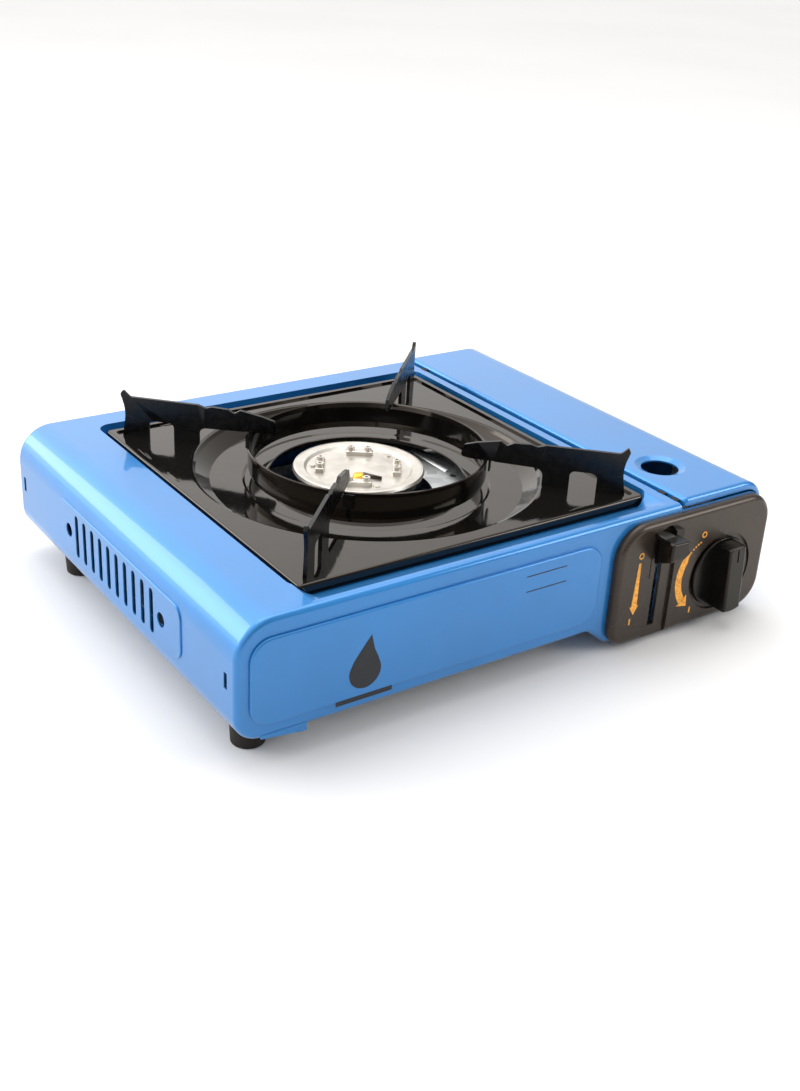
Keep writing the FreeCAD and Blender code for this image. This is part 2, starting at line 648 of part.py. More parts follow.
def spark_bracket():
    """Angle that holds the ceramic sleeve above the base plate."""
    x, y = BURNER[0] - 12, BURNER[1] - 39.5
    base = BURNER_SIDE_BOTTOM + 2 * SHEET
    plate = box(x - 7, x + 7, y - 8, y + 5, 50.8, 52).cut(rod_z(x, y, 50, 53, 3.0))
    leg = box(x - 7, x + 1, y - 9.2, y - 8, base, 52)
    foot = box(x - 7, x + 1, y - 18, y - 8, base, base + 1.2)
    return plate.fuse([leg, foot]).removeSplitter()


# ---------------------------------------------------------------- gas control
BLOCK = (118, 152, -108, -72, 20, 52)


def regulator_body():
    """Die-cast block with the spindle bore, the diaphragm chamber and the inlet."""
    x0, y0, y1 = BLOCK[0], BLOCK[2], BLOCK[3]
    block = round_edges(box(*BLOCK), 2.5, lambda b: b.YLength > 30)
    block = block.fuse(rod_y(CARTRIDGE_AXIS[0], CARTRIDGE_AXIS[1], y1, y1 + 2, 10))
    flange = rod_x(x0 - 4, x0, -94, 36, 16)
    block = block.fuse(flange).cut(rod_x(x0 - 5, x0 + 3, -94, 36, 11))
    block = block.cut(rod_y(*KNOB_AXIS, y0 - 1, -100, 3.05))
    return block.cut(rod_y(*CARTRIDGE_AXIS, y1 - 8, y1 + 3, 4.0))


def regulator_diaphragm():
    return rod_x(BLOCK[0] - 5, BLOCK[0] - 4, -94, 36, 15.5)


def regulator_cap():
    """Pressed cover over the diaphragm spring."""
    x1 = BLOCK[0] - 5
    cap = rod_x(x1 - 8, x1, -94, 36, 12.5).fuse(rod_x(x1 - 1.4, x1, -94, 36, 16))
    cap = round_edges(cap, 2.0, lambda b: b.XMax < x1 - 7.9)
    return cap.cut(rod_x(x1 - 6.8, x1 + 1, -94, 36, 11.3))


def regulator_spring():
    """Coil spring between the cap and the diaphragm."""
    x0, radius, pitch, turns = BLOCK[0] - 11.1, 7.0, 2.0, 2.5
    points = []
    for i in range(int(turns * 16) + 1):
        angle = i * math.pi / 8
        points.append(V(x0 + pitch * i / 16, -94 + radius * math.cos(angle), 36 + radius * math.sin(angle)))
    curve = Part.BSplineCurve()
    curve.interpolate(points)
    heading = curve.tangent(curve.FirstParameter)[0]
    circle = Part.Wire([Part.Circle(points[0], heading, 0.6).toShape()])
    return Part.Wire([curve.toShape()]).makePipeShell([circle], True, False)


def regulator_screws():
    screws = []
    for i in range(4):
        angle = math.radians(45 + 90 * i)
        y, z = -94 + 14.2 * math.cos(angle), 36 + 14.2 * math.sin(angle)
        screws.append(rod_x(BLOCK[0] - 8.0, BLOCK[0] - 6.4, y, z, 1.5))
    return group(screws)


def inlet_nozzle():
    """Brass nozzle that enters the cartridge valve."""
    x, z = CARTRIDGE_AXIS
    y1 = BLOCK[3]
    nozzle = rod_y(x, z, y1 - 8, y1 + 6, 4.0).fuse(rod_y(x, z, y1 + 2, y1 + 4, 7))
    return nozzle.cut(rod_y(x, z, y1 - 4, y1 + 8, 1.2))


def inlet_seal():
    x, z = CARTRIDGE_AXIS
    y1 = BLOCK[3]
    return rod_y(x, z, y1 + 4, y1 + 5.5, 6.2).cut(rod_y(x, z, y1 + 3, y1 + 7, 4.0))


def regulator_bracket():
    """Plate that ties the regulator to the front sheet and the tray."""
    x0, x1, y0, y1, z0 = BLOCK[:5]
    z = TANK_SIDE_BOTTOM + 2 * SHEET
    shelf = box(x0, x1, y0 + 4, y1, z0 - 1.5, z0)
    leg = box(x0, x1, y1 - 1.5, y1, z, z0)
    foot = box(x0, x1, y1 - 14, y1, z, z + 1.5)
    return shelf.fuse([leg, foot]).removeSplitter()


def igniter():
    """Piezo igniter lying across the bay above the regulator."""
    body = rod_x(116, 146, -100, 60, 4.6).fuse(rod_x(112, 116, -100, 60, 3.0))
    return body.fuse(box(120, 142, -104, -96, 52, 57)).removeSplitter()


IGNITION_LEAD = ((112, -100, 60), (98, -100, 60), (84, -92, 57), (60, -78, 48), (36, -66, 38),
                 (12, -55, 31), (-10, -45, 28), (-26, -34, 29), (-33, -28.5, 35), (-33, -28.5, 44))


def ignition_lead():
    """Insulated lead from the igniter to the electrode, clipped clear of the pan."""
    points = [V(*p) for p in IGNITION_LEAD]
    return bent_rod(points, 1.0, 5.5)


# ---------------------------------------------------------------- cartridge carriage
def cartridge_carriage():
    """Sliding collar plate that draws the cartridge onto the nozzle, and its rod."""
    x, z = CARTRIDGE_AXIS
    plate = front_prism(97.9, 156, 12, 70.5, 4, -64.0, -62.5)
    plate = plate.cut(rod_y(x, z, -66, -60, 17)).cut(box(x - 17, x + 17, -66, -60, z, 72))
    plate = plate.cut(box(92, 101, -66, -60, 34, 46))
    rod = rod_y(100.2, 65.4, -108, -64.0, 2.0)
    return plate.fuse(rod)


def carriage_guide():
    """Angle on the bay wall with the bore that the carriage rod runs in."""
    x0 = TANK_WALL_X + SHEET
    guide = box(x0, 104, -78, -76.5, 60, 68.2).cut(rod_y(100.2, 65.4, -82, -72, 2.06))
    return guide.fuse(box(x0, x0 + 1.2, -76.5, -68, 60, 68.2)).removeSplitter()


# ---------------------------------------------------------------- pan and pot supports
def drip_pan():
    cx, cy = PAN_CENTRE
    t = PAN_SHEET
    half = PAN_SIDE / 2
    top = PAN_RIM_TOP
    skin = plan_prism(cx - half, cx + half, cy - half, cy + half, 2.6, PAN_SKIRT_BOTTOM, top)
    skin = round_edges(skin, 1.5, lambda b: b.ZMin > top - 0.01)
    inside = plan_prism(cx - half + t, cx + half - t, cy - half + t, cy + half - t, 1.8,
                        PAN_SKIRT_BOTTOM - 1, top - t)
    inside = round_edges(inside, 0.8, lambda b: b.ZMin > top - t - 0.01)
    rim = skin.cut(inside)
    field = half - 4.0
    tray = field + t
    flat = plan_prism(cx - tray, cx + tray, cy - tray, cy + tray, 3.8, PAN_FLAT_TOP - t, top - t / 2)
    cut = plan_prism(cx - field, cx + field, cy - field, cy + field, 3, PAN_FLAT_TOP, top + 2)
    rim = rim.fuse(flat).cut(cut).cut(rod_z(cx, cy, 60, 90, WELL_RADIUS))
    flat_under = PAN_FLAT_TOP - t
    bowl = turned(PAN_CENTRE, [(WELL_RADIUS + 0.5, PAN_FLAT_TOP), (WELL_RADIUS - 1.5, PAN_FLAT_TOP - 0.5),
                               (WELL_RADIUS - 3.0, PAN_FLAT_TOP - 2.2), (WELL_FLOOR_RADIUS, WELL_FLOOR),
                               (70, WELL_INNER + 0.6), (68.5, WELL_INNER), (58.5, WELL_INNER),
                               (PAN_HOLE_RADIUS + 0.6, WELL_INNER + 3.4), (PAN_HOLE_RADIUS, WELL_INNER + 3.0),
                               (58, WELL_INNER - t), (69, WELL_INNER - t), (70.4, WELL_INNER + 0.6 - t),
                               (WELL_FLOOR_RADIUS + 0.5, WELL_FLOOR - t),
                               (WELL_RADIUS - 2.4, flat_under - 1.9), (WELL_RADIUS - 1.2, flat_under - 0.4),
                               (WELL_RADIUS + 0.5, flat_under)])
    return rim.fuse(bowl).removeSplitter()


def burner_ring():
    """Wind ring that stands round the burner, with an outward lip."""
    r, z0, z1, t = RING_RADIUS, RING_BOTTOM, RING_TOP, RING_WALL
    outline = [(r - 1.4 - t, z0), (r - 1.4, z0), (r - 0.6, z0 + 3), (r - 0.6, z1 - 3), (r, z1 - 1.2),
               (r + 0.2, z1 - 0.4), (r - 0.4, z1), (r - t, z1 - 0.6), (r - 0.6 - t, z1 - 3.2),
               (r - 0.6 - t, z0 + 3.1)]
    band = turned(PAN_CENTRE, outline)
    for index in range(4):
        band = band.cut(along_support(index, box(50, 80, -1.15, 1.15, 84.4, 95)))
    return band


def along_support(index, solid):
    """Places a solid drawn along +X from the pan centre onto one of the diagonals."""
    placed = solid.copy()
    placed.rotate(V(0, 0, 0), V(0, 0, 1), 45 + 90 * index)
    placed.translate(V(PAN_CENTRE[0], PAN_CENTRE[1], 0))
    return placed


def pot_support():
    """Sheet blade: foot with a window, an arm over the ring and a horn at the end."""
    base, tip = PAN_FLAT_TOP, SUPPORT_TIP
    arm = 86.6
    y = -SUPPORT_THICKNESS / 2
    outline = [(SUPPORT_OUTER, base, 0), (SUPPORT_OUTER - 2.4, base + 15.2, 25),
               (SUPPORT_OUTER + 0.7, tip - 2.5, 1.2), (SUPPORT_OUTER - 0.7, tip, 0.8), (SUPPORT_OUTER - 4.7, tip - 3.8, 2.5), (98.8, tip - 3.9, 1.5),
               (94.2, tip - 5.4, 1.2), (90.5, tip - 4.3, 2.0), (81.4, tip - 4.7, 1.2), (77.4, tip - 6.7, 0.8),
               (74.0, tip - 4.4, 1.5), (61.0, tip - 6.7, 4.0), (54.0, tip - 8.7, 1.8), (51.9, arm + 1.4, 2.0),
               (58.0, arm + 0.3, 3.0), (SUPPORT_INNER, arm - 0.9, 4.5), (SUPPORT_INNER, base, 0)]
    blade = prism([(V(x, y, z), r) for x, z, r in outline], V(0, SUPPORT_THICKNESS, 0))
    window = prism([(V(x, y - 1, z), r) for x, z, r in
                    ((113, base - 3, 0), (128, base - 3, 0), (128, base + 10.6, 3), (113, base + 10.6, 3))],
                   V(0, SUPPORT_THICKNESS + 2, 0))
    notch = box(50, 71, y - 1, y + 5, arm - 6, arm + 0.2)
    return blade.cut(window).cut(notch)


def ring_hooks():
    """Small bent tabs that lock each blade to the ring."""
    r = RING_RADIUS
    hooks = []
    for index in range(4):
        tab = box(r + 0.25, r + 1.25, 1.2, 7.2, 79.5, 87.0)
        tab = round_edges(tab, 0.4, lambda b: b.YLength > 5.9 and b.ZMin > 86)
        hooks.append(along_support(index, tab))
    return group(hooks)


def pan_supports():
    names = ("back_right", "back_left", "front_left", "front_right")
    return {"pot_support_" + names[i]: along_support(i, pot_support()) for i in range(4)}


# ---------------------------------------------------------------- export
def all_nodes():
    nodes = {}
    nodes.update(case_parts())
    nodes.update(feet())
    nodes.update(pan_supports())
    singles = (base_plate, tank_wall, heat_shield, cartridge_tray, cartridge_cradle, heat_strip, control_panel,
               panel_screws, knob, valve_spindle, igniter_cam, lever_handle, lever_link, lid_panel,
               lid_buffers, hinge_pins, burner_bowl, burner_cap, burner_ports, pilot_cap, spark_horn,
               burner_screws, burner_bracket, mixing_tube, air_shutter, gas_jet, gas_pipe, spark_rod,
               spark_insulator, spark_bracket, regulator_body, regulator_diaphragm, regulator_cap,
               regulator_spring, regulator_screws, inlet_nozzle, inlet_seal, regulator_bracket, igniter,
               ignition_lead, cartridge_carriage, carriage_guide, drip_pan, burner_ring, ring_hooks)
    for make in singles:
        nodes[make.__name__] = make()
    return nodes


def main():
    os.makedirs("parts", exist_ok=True)
    for name, shape in all_nodes().items():
        shape.translate(V(0, CENTRING, 0))
        solids = len(shape.Solids)
        print("%-24s solids %d valid %s volume %.0f" % (name, solids, shape.isValid(), shape.Volume))
        shape.exportStep("parts/" + name + ".step")


main()
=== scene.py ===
"""Looks of a portable one-burner gas stove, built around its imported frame.

Everything is in metres, in the frame's own axes: X right along the front, Y to the back, Z up.
"""
import json
import math

import bmesh
import bpy
from bpy.props import FloatProperty, FloatVectorProperty, PointerProperty
from mathutils import Matrix, Quaternion, Vector


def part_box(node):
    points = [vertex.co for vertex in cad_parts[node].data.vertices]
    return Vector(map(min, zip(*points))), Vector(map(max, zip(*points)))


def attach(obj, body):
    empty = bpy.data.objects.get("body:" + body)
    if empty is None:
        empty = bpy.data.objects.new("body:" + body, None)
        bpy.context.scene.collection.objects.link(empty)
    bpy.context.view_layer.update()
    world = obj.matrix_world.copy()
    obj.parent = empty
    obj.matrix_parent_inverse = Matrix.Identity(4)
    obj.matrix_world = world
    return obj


bl_info = {
    "name": "Tabletop Gas Stove",
    "version": (1, 0, 0),
    "blender": (4, 5, 0),
    "location": "3D View > Sidebar > Stove",
    "description": "Finishes a tabletop gas stove: paint, enamel, metals, moulded controls and print",
    "category": "Object",
}

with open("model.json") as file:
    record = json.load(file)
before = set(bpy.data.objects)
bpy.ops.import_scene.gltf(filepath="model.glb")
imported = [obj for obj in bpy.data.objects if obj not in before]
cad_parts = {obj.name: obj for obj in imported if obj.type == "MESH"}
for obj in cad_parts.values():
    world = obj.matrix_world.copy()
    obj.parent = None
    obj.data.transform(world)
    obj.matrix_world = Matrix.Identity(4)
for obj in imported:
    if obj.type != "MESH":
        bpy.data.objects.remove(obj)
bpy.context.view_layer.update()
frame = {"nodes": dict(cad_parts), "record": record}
MM = 0.001
WAVES_PER_UNIT = 20              # rings that a wave texture draws per unit at a scale of 1

# Lowest and highest corner of each node's box
LOW = {name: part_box(name)[0] for name in frame["nodes"]}
HIGH = {name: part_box(name)[1] for name in frame["nodes"]}

# Print: millimetres in X and Z, and degrees from +X towards +Z
PRINT_FILM = 0.05
LEVER_ARROW_X = 70.3
LEVER_ARROW_TAIL, LEVER_ARROW_NECK, LEVER_ARROW_POINT = 52.6, 26.5, 21.3
KNOB_ARROW_CENTRE = (125.0, 33.7)
KNOB_ARROW_RADIUS = 22.5
KNOB_ARROW_HEAD = 4.4
DASH_STARTS = (131, 126, 121, 116)
DASH_LENGTH = 3
CLOSED_MARKS = ((71.0, 56.6), (117.6, 58.6))
OPEN_MARKS = ((68.3, 17.4), (114.6, 12.6))
MARK_HALF_HEIGHT = 1.9
RING_HOLE = 1.2
BAR_HALF_WIDTH = 0.5
BURNER_SIGN = (-101, 40)
DROP_RADIUS = 9
PRINTED_RULES = ((-5.5, 21, 62.0), (-5.0, 21.5, 53.2))
RULE_HALF_WIDTH = 0.3

# Pan beads, in millimetres: how far in from the rim and below its top, and each bead's ends along an edge
BEAD_INSET = 5.8
FLAT_DROP = 1.2
BEAD_SPANS = ((26, 41), (60, 78))
BEAD_HALF_WIDTH = 1.0
BEAD_HEIGHT = 0.6

# Nodes whose cut edges the enamel rounds, and by how many millimetres
EASED_NODES = ("pot_support_back_right", "pot_support_back_left", "pot_support_front_left",
               "pot_support_front_right")
EASED_WIDTH = 0.35
WELD_GAP = 0.001

# Studio: each softbox's name, place, aim, size and power, and the side that the white surround is brightest on
SOFTBOXES = (
    ("overhead_softbox", (0.2, 0.3, 1.7), (0, 0, 0), (1.6, 1.2), 12),
    ("left_softbox", (-1.5, 1.5, 1.0), (-0.1, 0, 0.05), (1.8, 1.2), 20),
    ("right_softbox", (0.65, -0.65, 0.45), (0.05, -0.12, 0.05), (0.4, 0.4), 3.0),
)
BRIGHT_SIDE = (-0.50, 0.70, 0.51)
DIM_SHARE = 0.1
FLOOR_SIZE = 30


# ---------------------------------------------------------------- colours and nodes
def linear(code):
    """An sRGB hex colour as linear RGBA."""
    channels = [int(code[i:i + 2], 16) / 255 for i in (1, 3, 5)]
    return [c / 12.92 if c <= 0.04045 else ((c + 0.055) / 1.055) ** 2.4 for c in channels] + [1.0]


def add_node(tree, kind, settings=None, inputs=None):
    """Adds one node; an input is a value, or a (node, output) pair to link from."""
    made = tree.nodes.new(kind)
    for name, value in (settings or {}).items():
        setattr(made, name, value)
    for socket, value in (inputs or {}).items():
        if isinstance(value, tuple) and isinstance(value[0], bpy.types.Node):
            tree.links.new(value[0].outputs[value[1]], made.inputs[socket])
        else:
            made.inputs[socket].default_value = value
    return made


def per_mm(size):
    """Noise scale that gives features about this many millimetres across."""
    return 1 / (size * MM)


def set_stops(ramp, stops):
    """Sets a colour ramp's stops from (position, RGBA) pairs."""
    elements = ramp.color_ramp.elements
    for extra in range(len(stops) - len(elements)):
        elements.new(0.5)
    for element, (place, colour) in zip(elements, stops):
        element.position = place
        element.color = colour
    return ramp


def new_surface(name, **sockets):
    """An empty material with its Principled shader; returns material, tree, coordinates, shader."""
    material = bpy.data.materials.new(name)
    material.use_nodes = True
    tree = material.node_tree
    tree.nodes.clear()
    place = add_node(tree, "ShaderNodeTexCoord")
    shader = add_node(tree, "ShaderNodeBsdfPrincipled", inputs=sockets)
    add_node(tree, "ShaderNodeOutputMaterial", inputs={"Surface": (shader, "BSDF")})
    return material, tree, place, shader


def blended(tree, colour_a, colour_b, driver, low, high):
    """Colour that goes from a to b as the driver goes from low to high."""
    ramp = add_node(tree, "ShaderNodeValToRGB", inputs={"Fac": driver})
    return set_stops(ramp, [(low, colour_a), (high, colour_b)]), "Color"


def spread(tree, driver, low, high, out_low, out_high):
    """Remaps a driver value from low-high to out_low-out_high."""
    return add_node(tree, "ShaderNodeMapRange",
                    inputs={"Value": driver, "From Min": low, "From Max": high,
                            "To Min": out_low, "To Max": out_high}), "Result"


def noise(tree, place, size, detail=2.0):
    """Soft noise with features about this many millimetres across."""
    return add_node(tree, "ShaderNodeTexNoise",
                    inputs={"Vector": (place, "Object"), "Scale": per_mm(size), "Detail": detail})


def cells(tree, place, size):
    """Voronoi cells about this many millimetres across."""
    return add_node(tree, "ShaderNodeTexVoronoi", inputs={"Vector": (place, "Object"), "Scale": per_mm(size)})


def bumped(tree, height, strength, depth):
    """Bump from a (node, output) height, this many millimetres deep."""
    return add_node(tree, "ShaderNodeBump",
                    inputs={"Height": height, "Strength": strength, "Distance": depth * MM}), "Normal"


def join(tree, shader, **links):
    """Links (node, output) pairs to the shader's sockets; _ stands for a space."""
    for socket, (source, output) in links.items():
        tree.links.new(source.outputs[output], shader.inputs[socket.replace("_", " ")])


# ---------------------------------------------------------------- materials
def baked_blue_paint(colour):
    """Stoved gloss enamel on pressed steel: sprayed thick, so it has a faint orange peel
    under a clear, hard gloss, and it goes a little deeper where it pools."""
    material, tree, place, shader = new_surface("baked_gloss_paint", IOR=1.5, **{
        "Metallic": 0.45, "Coat Weight": 0.8, "Coat Roughness": 0.06, "Coat IOR": 1.5})
    pools = noise(tree, place, 60, 3.0)
    peel = noise(tree, place, 2.6, 1.0)
    deep = [c * 0.9 for c in colour[:3]] + [1.0]
    tint = blended(tree, deep, colour, (pools, "Fac"), 0.35, 0.65)
    rough = spread(tree, (pools, "Fac"), 0.3, 0.7, 0.36, 0.44)
    bump = bumped(tree, (peel, "Fac"), 0.25, 0.05)
    join(tree, shader, Base_Color=tint, Roughness=rough, Normal=bump, Coat_Normal=bump)
    return material


def vitreous_enamel():
    """Black-brown porcelain enamel fired on steel: glassy, wavy at the scale of a fingertip,
    with pin-point specks where the frit did not flow out."""
    material, tree, place, shader = new_surface("vitreous_enamel", IOR=1.55, **{
        "Specular Tint": linear("#f7e9da")})
    wave = noise(tree, place, 16)
    specks = cells(tree, place, 3.5)
    tint = blended(tree, linear("#2b2520"), linear("#0f0d0b"), (specks, "Distance"), 0.02, 0.09)
    rough = spread(tree, (wave, "Fac"), 0.3, 0.7, 0.05, 0.11)
    bump = bumped(tree, (wave, "Fac"), 0.3, 0.25)
    join(tree, shader, Base_Color=tint, Roughness=rough, Normal=bump)
    return material


def dipped_enamel():
    """Thin black enamel on the pot supports: dipped, matter than the pan, rounded on the edges."""
    material, tree, place, shader = new_surface("dipped_black_enamel", IOR=1.5, **{
        "Specular IOR Level": 0.3})
    skin = noise(tree, place, 4, 3.0)
    tint = blended(tree, linear("#060606"), linear("#0c0b0a"), (skin, "Fac"), 0.35, 0.65)
    rough = spread(tree, (skin, "Fac"), 0.3, 0.7, 0.22, 0.32)
    bump = bumped(tree, (skin, "Fac"), 0.3, 0.06)
    join(tree, shader, Base_Color=tint, Roughness=rough, Normal=bump)
    return material


def spangled_zinc():
    """Hot-dip galvanised sheet: silver with dull crystal spangles a few millimetres across."""
    material, tree, place, shader = new_surface("galvanised_sheet", Metallic=1.0)
    spangle = cells(tree, place, 6)
    haze = noise(tree, place, 25)
    tone = add_node(tree, "ShaderNodeSeparateColor", inputs={"Color": (spangle, "Color")})
    tint = blended(tree, linear("#c6cacc"), linear("#e9ebeb"), (tone, "Red"), 0.0, 1.0)
    rough = spread(tree, (haze, "Fac"), 0.3, 0.7, 0.38, 0.5)
    bump = bumped(tree, (tone, "Green"), 0.1, 0.03)
    join(tree, shader, Base_Color=tint, Roughness=rough, Normal=bump)
    return material


def spun_stainless(centre):
    """Bright stainless, spun and buffed: very light, with fine rings about the burner's axis."""
    material, tree, place, shader = new_surface("bright_stainless", Metallic=1.0)
    moved = add_node(tree, "ShaderNodeMapping", inputs={"Vector": (place, "Object"),
                                                        "Location": (-centre[0], -centre[1], 0)})
    rings = add_node(tree, "ShaderNodeTexWave", {"wave_type": "RINGS", "rings_direction": "Z"},
                     {"Vector": (moved, "Vector"), "Scale": per_mm(1.1) / WAVES_PER_UNIT, "Distortion": 1.5,
                      "Detail": 3.0})
    haze = noise(tree, place, 9)
    tint = blended(tree, linear("#c9c4bb"), linear("#dedad3"), (haze, "Fac"), 0.3, 0.7)
    rough = spread(tree, (rings, "Fac"), 0, 1, 0.34, 0.42)
    bump = bumped(tree, (rings, "Fac"), 0.08, 0.01)
    join(tree, shader, Base_Color=tint, Roughness=rough, Normal=bump)
    return material


def plain_metal(name, dark, light, grain_mm, rough_low, rough_high, bump_mm=0.02):
    """A metal with a fine surface grain, cloudy in tone and gloss."""
    material, tree, place, shader = new_surface(name, Metallic=1.0)
    grain = noise(tree, place, grain_mm, 4.0)
    cloud = noise(tree, place, 14)
    tint = blended(tree, linear(dark), linear(light), (cloud, "Fac"), 0.3, 0.7)
    rough = spread(tree, (cloud, "Fac"), 0.3, 0.7, rough_low, rough_high)
    bump = bumped(tree, (grain, "Fac"), 0.3, bump_mm)
    join(tree, shader, Base_Color=tint, Roughness=rough, Normal=bump)
    return material


def moulded(name, dark, light, grain_mm, rough_low, rough_high, bump_mm, ior=1.5):
    """A moulded surface: the tool's texture as fine bumps, and slight flow clouds."""
    material, tree, place, shader = new_surface(name, IOR=ior, **{"Specular Tint": linear("#f7e9da")})
    grain = noise(tree, place, grain_mm)
    cloud = noise(tree, place, 22)
    tint = blended(tree, linear(dark), linear(light), (cloud, "Fac"), 0.35, 0.65)
    rough = spread(tree, (cloud, "Fac"), 0.3, 0.7, rough_low, rough_high)
    bump = bumped(tree, (grain, "Fac"), 0.35, bump_mm)
    join(tree, shader, Base_Color=tint, Roughness=rough, Normal=bump)
    return material


def screen_print(name, dark, light):
    """Opaque pad-print ink, a little uneven where it bridges the surface's texture."""
    material, tree, place, shader = new_surface(name, IOR=1.45)
    patch = noise(tree, place, 1.2, 3.0)
    tint = blended(tree, linear(dark), linear(light), (patch, "Fac"), 0.35, 0.6)
    rough = spread(tree, (patch, "Fac"), 0.3, 0.7, 0.4, 0.55)
    join(tree, shader, Base_Color=tint, Roughness=rough)
    return material


def all_materials(finish):
    """Every material: two inks and the supports' enamel, then one for each slot of the record."""
    burner = (LOW["burner_cap"] + HIGH["burner_cap"]) / 2
    return {
        "support_enamel": dipped_enamel(),
        "amber_print": screen_print("amber_print", "#d98a1f", "#ffb648"),
        "dark_print": screen_print("dark_print", "#15171a", "#22252a"),
        "blue_paint": baked_blue_paint(list(finish.paint) + [1.0]),
        "black_enamel": vitreous_enamel(),
        "galvanised": spangled_zinc(),
        "bright_steel": spun_stainless(burner),
        # Rolled aluminium, mill finish: soft grey sheen
        "aluminium": plain_metal("mill_aluminium", "#b9bcbf", "#d5d7d9", 1.5, 0.28, 0.4),
        # Pressure die-cast zinc: dull grey with a sandy skin
        "die_cast": plain_metal("die_cast_zinc", "#85878a", "#a1a3a6", 0.9, 0.42, 0.55, 0.05),
        # Turned free-cutting brass: warm yellow, quite bright
        "brass": plain_metal("turned_brass", "#e0a52e", "#ffd65c", 0.8, 0.2, 0.3),
        # Drawn copper tube: pinkish, handled dull in places
        "copper": plain_metal("drawn_copper", "#b4694a", "#d98f6b", 1.2, 0.22, 0.36),
        # Steel blued by heat: nearly black, satin
        "dark_steel": plain_metal("heat_blued_steel", "#3c3733", "#57504b", 1.0, 0.3, 0.45),
        # Moulded ABS with a fine spark-eroded texture: warm charcoal, satin
        "panel_plastic": moulded("textured_ABS", "#2a2420", "#342c26", 0.7, 0.24, 0.32, 0.015),
        # Polished phenolic moulding: black and glossy
        "gloss_plastic": moulded("polished_phenolic", "#070707", "#0d0c0c", 3.0, 0.2, 0.27, 0.004, 1.42),
        # Moulded nitrile rubber: matt, dusty black
        "rubber": moulded("moulded_rubber", "#131313", "#1e1e1e", 0.9, 0.7, 0.85, 0.05),
        # Glazed steatite: off-white and shiny
        "ceramic": moulded("glazed_steatite", "#e4e0d6", "#f1eee6", 2.0, 0.12, 0.22, 0.02),
        # Extruded silicone sleeve: brick red, waxy
        "lead_sleeve": moulded("silicone_sleeve", "#8c2f24", "#a53c2e", 1.5, 0.45, 0.6, 0.02, 1.42),
        # Moulded nylon: ivory, satin
        "igniter_plastic": moulded("ivory_nylon", "#d3cfc3", "#e2dfd6", 1.0, 0.4, 0.5, 0.02),
    }


# ---------------------------------------------------------------- mesh helpers
def finished_piece(context, shape, name, material, body):
    """Makes an object of a bmesh, with its place in its mesh, riding on a body."""
    bmesh.ops.recalc_face_normals(shape, faces=shape.faces)
    mesh = bpy.data.meshes.new(name)
    shape.to_mesh(mesh)
    shape.free()
    mesh.materials.append(material)
    piece = bpy.data.objects.new(name, mesh)
    context.scene.collection.objects.link(piece)
    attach(piece, body)
    return piece


def printed_shape(shape, outline, depth_y):
    """Adds a flat outline of (x, z) points in mm, facing the front, as thick as an ink film."""
    corners = [shape.verts.new((x * MM, depth_y, z * MM)) for x, z in outline]
    face = shape.faces.new(corners)
    film = bmesh.ops.extrude_face_region(shape, geom=[face])
    moved = [each for each in film["geom"] if isinstance(each, bmesh.types.BMVert)]
    bmesh.ops.translate(shape, vec=(0, -PRINT_FILM * MM, 0), verts=moved)


def polar(centre, radius, angle):
    """The point at this radius and angle, in degrees from +X towards +Z."""
    turn = math.radians(angle)
    return centre[0] + radius * math.cos(turn), centre[1] + radius * math.sin(turn)


def arc_points(centre, radius, start, end, count):
    """Evenly spaced points along an arc."""
    return [polar(centre, radius, start + (end - start) * i / (count - 1)) for i in range(count)]


# ---------------------------------------------------------------- settings
class StoveFinish(bpy.types.PropertyGroup):
    """Colours that a user would change."""
    paint: FloatVectorProperty(name="Paint", description="Colour of the case and lid", subtype="COLOR",
                               size=3, min=0, max=1, default=linear("#1f7dc4")[:3])


class StoveStage(bpy.types.PropertyGroup):
    """Camera and light."""
    place: FloatVectorProperty(name="Camera place", description="Where the camera stands", unit="LENGTH",
                               subtype="TRANSLATION", size=3, default=(-0.4155, -0.5829, 0.3782))
    azimuth: FloatProperty(name="Azimuth", description="Turn of the view from +Y towards +X",
                           subtype="ANGLE", default=math.radians(35.81))
    elevation: FloatProperty(name="Elevation", description="How far the camera looks down",
                             subtype="ANGLE", default=math.radians(26.32))
    roll: FloatProperty(name="Roll", description="Tilt of the camera about its line of sight",
                        subtype="ANGLE", default=math.radians(3.26))
    lens: FloatProperty(name="Lens", description="Focal length for a 36 mm sensor, in millimetres",
                        default=45.36)
    surround: FloatProperty(name="Surround", description="Brightness of the white studio", default=2.15)


# ---------------------------------------------------------------- operators
class STOVE_OT_finish(bpy.types.Operator):
    """Give every piece of the frame its finish"""
    bl_idname = "stove.finish_frame"
    bl_label = "Finish the frame"

    def execute(self, context):
        made = all_materials(context.scene.stove_finish)
        for part in frame["record"]["subparts"]:
            node = frame["nodes"][part["node"]]
            node.data.materials.clear()
            dipped = part["node"].startswith(("pot_support", "ring_hooks"))
            node.data.materials.append(made["support_enamel" if dipped else part["material_slot"]])
        for name in EASED_NODES:
            self.ease_edges(frame["nodes"][name])
        return {"FINISHED"}

    def ease_edges(self, node):
        """Rounds a sheet's sharp cut edges, as enamel does."""
        weld = node.modifiers.new("weld", "WELD")
        weld.merge_threshold = WELD_GAP * MM
        bevel = node.modifiers.new("eased_edges", "BEVEL")
        bevel.width = EASED_WIDTH * MM
        bevel.segments = 2
        bevel.limit_method = "ANGLE"
        bevel.angle_limit = math.radians(40)
        bevel.harden_normals = True


